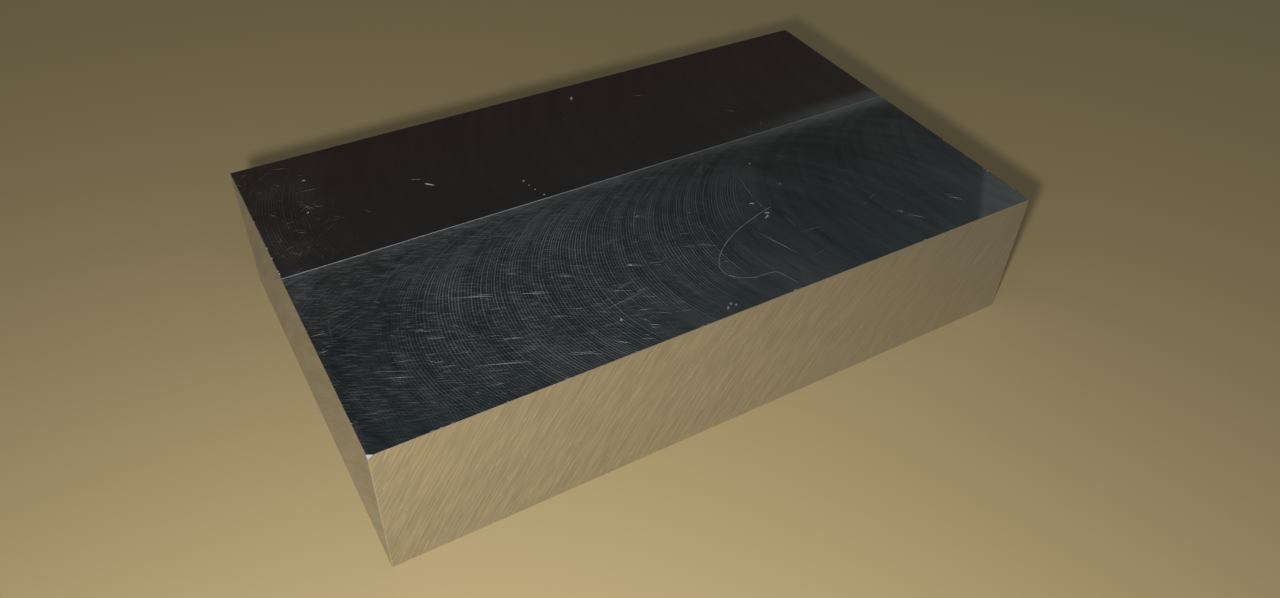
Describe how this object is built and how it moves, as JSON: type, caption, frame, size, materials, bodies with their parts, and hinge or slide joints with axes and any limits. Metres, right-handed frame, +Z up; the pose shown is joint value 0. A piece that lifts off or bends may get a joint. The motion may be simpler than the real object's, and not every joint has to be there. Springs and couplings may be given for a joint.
{
  "type": "aluminium flat bar",
  "caption": "Short rectangular length of aluminium flat bar, face-milled all over, with a fine step along its top between two cutter passes and lightly broken edges.",
  "frame": {"origin": "middle of the underside, on the surface that the bar lies on", "axes": "+X along the bar's length, +Y across its width from the front face to the back face, +Z up through its thickness"},
  "size_m": [0.12, 0.072, 0.025],
  "materials": {
    "milled_aluminium": "bright face-milled aluminium with fine cutter arcs and handling scratches"
  },
  "bodies": {
    "root": {"flat_bar": "milled_aluminium"}
  },
  "joints": []
}
